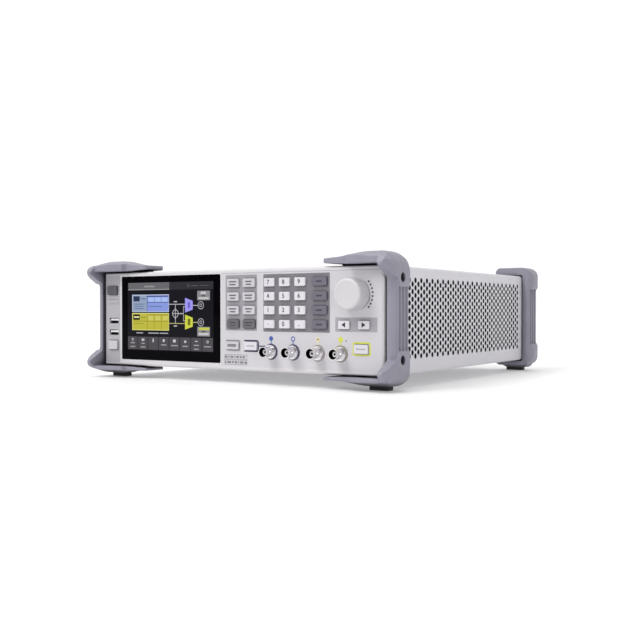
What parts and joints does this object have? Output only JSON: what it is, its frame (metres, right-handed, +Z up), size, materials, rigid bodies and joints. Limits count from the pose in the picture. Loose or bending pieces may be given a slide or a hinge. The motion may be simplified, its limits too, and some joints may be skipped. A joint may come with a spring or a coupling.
{
  "type": "function generator",
  "caption": "Bench function generator: sheet-metal case with corner bumpers, colour display, keypad, rotary knob, front BNC jacks and side fans.",
  "frame": {"origin": "on the floor plane of the rubber feet, under the middle of the instrument's box", "axes": "+X right across the front panel, +Y from the front panel to the back, +Z up"},
  "size_m": [0.352, 0.3516, 0.1171],
  "materials": {
    "case_paint": "fine-textured powder coat, pale grey",
    "bezel_plastic": "smooth moulded plastic, pale grey",
    "cover_glass": "black-printed glossy glass",
    "display_frame": "dark liquid crystal panel in a thin frame",
    "circuit_board": "green solder mask",
    "black_plastic": "black moulded plastic",
    "knob_plastic": "satin pale grey plastic",
    "key_white": "soft white silicone",
    "key_grey": "soft grey silicone",
    "bumper_rubber": "soft grey moulded elastomer",
    "foot_rubber": "black rubber",
    "zinc_steel": "zinc-plated steel",
    "screw_steel": "dark zinc-plated screws",
    "nickel": "bright nickel plating",
    "white_insulator": "white insulator",
    "gold_contact": "gold-plated contact",
    "transformer": "potted power components on a board"
  },
  "bodies": {
    "chassis": {"base_pan": "case_paint", "side_panel_left": "case_paint", "side_panel_right": "case_paint", "top_cover": "case_paint", "rear_panel": "case_paint", "front_chassis": "zinc_steel", "front_bezel": "bezel_plastic", "display_glass": "cover_glass", "display_module": "display_frame", "front_circuit_board": "circuit_board", "key_switches": "black_plastic", "encoder_body": "zinc_steel", "bnc_shells": "nickel", "bnc_insulators": "white_insulator", "bnc_contacts": "gold_contact", "data_ports": "zinc_steel", "mains_inlet": "black_plastic", "bumper_front_left": "bumper_rubber", "bumper_front_right": "bumper_rubber", "bumper_rear_left": "bumper_rubber", "bumper_rear_right": "bumper_rubber", "rubber_feet": "foot_rubber", "case_screws": "screw_steel", "main_board": "circuit_board", "power_supply": "transformer", "fan_frames": "black_plastic"},
    "control_knob": {"control_knob": "knob_plastic"},
    "fan_rotor_front": {"fan_rotor_front": "black_plastic"},
    "fan_rotor_rear": {"fan_rotor_rear": "black_plastic"},
    "power_key": {"power_key": "key_grey"},
    "side_key": {"side_key": "key_white"},
    "shift_key": {"shift_key": "key_white"},
    "output_key_1": {"output_key_1": "key_white"},
    "output_key_2": {"output_key_2": "key_white"},
    "arrow_key_left": {"arrow_key_left": "key_white"},
    "arrow_key_right": {"arrow_key_right": "key_white"},
    "function_key_1": {"function_key_1": "key_white"},
    "function_key_2": {"function_key_2": "key_white"},
    "function_key_3": {"function_key_3": "key_white"},
    "function_key_4": {"function_key_4": "key_white"},
    "function_key_5": {"function_key_5": "key_white"},
    "function_key_6": {"function_key_6": "key_white"},
    "function_key_7": {"function_key_7": "key_grey"},
    "function_key_8": {"function_key_8": "key_grey"},
    "number_key_7": {"number_key_7": "key_white"},
    "number_key_8": {"number_key_8": "key_white"},
    "number_key_9": {"number_key_9": "key_white"},
    "number_key_4": {"number_key_4": "key_white"},
    "number_key_5": {"number_key_5": "key_white"},
    "number_key_6": {"number_key_6": "key_white"},
    "number_key_1": {"number_key_1": "key_white"},
    "number_key_2": {"number_key_2": "key_white"},
    "number_key_3": {"number_key_3": "key_white"},
    "number_key_sign": {"number_key_sign": "key_white"},
    "number_key_0": {"number_key_0": "key_white"},
    "number_key_point": {"number_key_point": "key_white"},
    "unit_key_1": {"unit_key_1": "key_grey"},
    "unit_key_2": {"unit_key_2": "key_grey"},
    "unit_key_3": {"unit_key_3": "key_grey"},
    "unit_key_4": {"unit_key_4": "key_grey"}
  },
  "joints": [
    {"name": "control_knob_turn", "type": "hinge", "parent": "chassis", "child": "control_knob", "pos_m": [0.1361, -0.16425, 0.0807], "axis": [0, 1, 0], "continuous": true},
    {"name": "fan_rotor_front_spin", "type": "hinge", "parent": "chassis", "child": "fan_rotor_front", "pos_m": [0.1465, -0.09025, 0.0601], "axis": [1, 0, 0], "continuous": true},
    {"name": "fan_rotor_rear_spin", "type": "hinge", "parent": "chassis", "child": "fan_rotor_rear", "pos_m": [0.1465, -0.01025, 0.0601], "axis": [1, 0, 0], "continuous": true},
    {"name": "power_key_press", "type": "slide", "parent": "chassis", "child": "power_key", "axis": [0, 1, 0], "range_m": [0, 0.001], "stiffness_N_per_m": 1500, "springref_m": -0.0005},
    {"name": "side_key_press", "type": "slide", "parent": "chassis", "child": "side_key", "axis": [0, 1, 0], "range_m": [0, 0.001], "stiffness_N_per_m": 1500, "springref_m": -0.0005},
    {"name": "shift_key_press", "type": "slide", "parent": "chassis", "child": "shift_key", "axis": [0, 1, 0], "range_m": [0, 0.001], "stiffness_N_per_m": 1500, "springref_m": -0.0005},
    {"name": "output_key_1_press", "type": "slide", "parent": "chassis", "child": "output_key_1", "axis": [0, 1, 0], "range_m": [0, 0.001], "stiffness_N_per_m": 1500, "springref_m": -0.0005},
    {"name": "output_key_2_press", "type": "slide", "parent": "chassis", "child": "output_key_2", "axis": [0, 1, 0], "range_m": [0, 0.001], "stiffness_N_per_m": 1500, "springref_m": -0.0005},
    {"name": "arrow_key_left_press", "type": "slide", "parent": "chassis", "child": "arrow_key_left", "axis": [0, 1, 0], "range_m": [0, 0.001], "stiffness_N_per_m": 1500, "springref_m": -0.0005},
    {"name": "arrow_key_right_press", "type": "slide", "parent": "chassis", "child": "arrow_key_right", "axis": [0, 1, 0], "range_m": [0, 0.001], "stiffness_N_per_m": 1500, "springref_m": -0.0005},
    {"name": "function_key_1_press", "type": "slide", "parent": "chassis", "child": "function_key_1", "axis": [0, 1, 0], "range_m": [0, 0.001], "stiffness_N_per_m": 1500, "springref_m": -0.0005},
    {"name": "function_key_2_press", "type": "slide", "parent": "chassis", "child": "function_key_2", "axis": [0, 1, 0], "range_m": [0, 0.001], "stiffness_N_per_m": 1500, "springref_m": -0.0005},
    {"name": "function_key_3_press", "type": "slide", "parent": "chassis", "child": "function_key_3", "axis": [0, 1, 0], "range_m": [0, 0.001], "stiffness_N_per_m": 1500, "springref_m": -0.0005},
    {"name": "function_key_4_press", "type": "slide", "parent": "chassis", "child": "function_key_4", "axis": [0, 1, 0], "range_m": [0, 0.001], "stiffness_N_per_m": 1500, "springref_m": -0.0005},
    {"name": "function_key_5_press", "type": "slide", "parent": "chassis", "child": "function_key_5", "axis": [0, 1, 0], "range_m": [0, 0.001], "stiffness_N_per_m": 1500, "springref_m": -0.0005},
    {"name": "function_key_6_press", "type": "slide", "parent": "chassis", "child": "function_key_6", "axis": [0, 1, 0], "range_m": [0, 0.001], "stiffness_N_per_m": 1500, "springref_m": -0.0005},
    {"name": "function_key_7_press", "type": "slide", "parent": "chassis", "child": "function_key_7", "axis": [0, 1, 0], "range_m": [0, 0.001], "stiffness_N_per_m": 1500, "springref_m": -0.0005},
    {"name": "function_key_8_press", "type": "slide", "parent": "chassis", "child": "function_key_8", "axis": [0, 1, 0], "range_m": [0, 0.001], "stiffness_N_per_m": 1500, "springref_m": -0.0005},
    {"name": "number_key_7_press", "type": "slide", "parent": "chassis", "child": "number_key_7", "axis": [0, 1, 0], "range_m": [0, 0.001], "stiffness_N_per_m": 1500, "springref_m": -0.0005},
    {"name": "number_key_8_press", "type": "slide", "parent": "chassis", "child": "number_key_8", "axis": [0, 1, 0], "range_m": [0, 0.001], "stiffness_N_per_m": 1500, "springref_m": -0.0005},
    {"name": "number_key_9_press", "type": "slide", "parent": "chassis", "child": "number_key_9", "axis": [0, 1, 0], "range_m": [0, 0.001], "stiffness_N_per_m": 1500, "springref_m": -0.0005},
    {"name": "number_key_4_press", "type": "slide", "parent": "chassis", "child": "number_key_4", "axis": [0, 1, 0], "range_m": [0, 0.001], "stiffness_N_per_m": 1500, "springref_m": -0.0005},
    {"name": "number_key_5_press", "type": "slide", "parent": "chassis", "child": "number_key_5", "axis": [0, 1, 0], "range_m": [0, 0.001], "stiffness_N_per_m": 1500, "springref_m": -0.0005},
    {"name": "number_key_6_press", "type": "slide", "parent": "chassis", "child": "number_key_6", "axis": [0, 1, 0], "range_m": [0, 0.001], "stiffness_N_per_m": 1500, "springref_m": -0.0005},
    {"name": "number_key_1_press", "type": "slide", "parent": "chassis", "child": "number_key_1", "axis": [0, 1, 0], "range_m": [0, 0.001], "stiffness_N_per_m": 1500, "springref_m": -0.0005},
    {"name": "number_key_2_press", "type": "slide", "parent": "chassis", "child": "number_key_2", "axis": [0, 1, 0], "range_m": [0, 0.001], "stiffness_N_per_m": 1500, "springref_m": -0.0005},
    {"name": "number_key_3_press", "type": "slide", "parent": "chassis", "child": "number_key_3", "axis": [0, 1, 0], "range_m": [0, 0.001], "stiffness_N_per_m": 1500, "springref_m": -0.0005},
    {"name": "number_key_sign_press", "type": "slide", "parent": "chassis", "child": "number_key_sign", "axis": [0, 1, 0], "range_m": [0, 0.001], "stiffness_N_per_m": 1500, "springref_m": -0.0005},
    {"name": "number_key_0_press", "type": "slide", "parent": "chassis", "child": "number_key_0", "axis": [0, 1, 0], "range_m": [0, 0.001], "stiffness_N_per_m": 1500, "springref_m": -0.0005},
    {"name": "number_key_point_press", "type": "slide", "parent": "chassis", "child": "number_key_point", "axis": [0, 1, 0], "range_m": [0, 0.001], "stiffness_N_per_m": 1500, "springref_m": -0.0005},
    {"name": "unit_key_1_press", "type": "slide", "parent": "chassis", "child": "unit_key_1", "axis": [0, 1, 0], "range_m": [0, 0.001], "stiffness_N_per_m": 1500, "springref_m": -0.0005},
    {"name": "unit_key_2_press", "type": "slide", "parent": "chassis", "child": "unit_key_2", "axis": [0, 1, 0], "range_m": [0, 0.001], "stiffness_N_per_m": 1500, "springref_m": -0.0005},
    {"name": "unit_key_3_press", "type": "slide", "parent": "chassis", "child": "unit_key_3", "axis": [0, 1, 0], "range_m": [0, 0.001], "stiffness_N_per_m": 1500, "springref_m": -0.0005},
    {"name": "unit_key_4_press", "type": "slide", "parent": "chassis", "child": "unit_key_4", "axis": [0, 1, 0], "range_m": [0, 0.001], "stiffness_N_per_m": 1500, "springref_m": -0.0005}
  ]
}
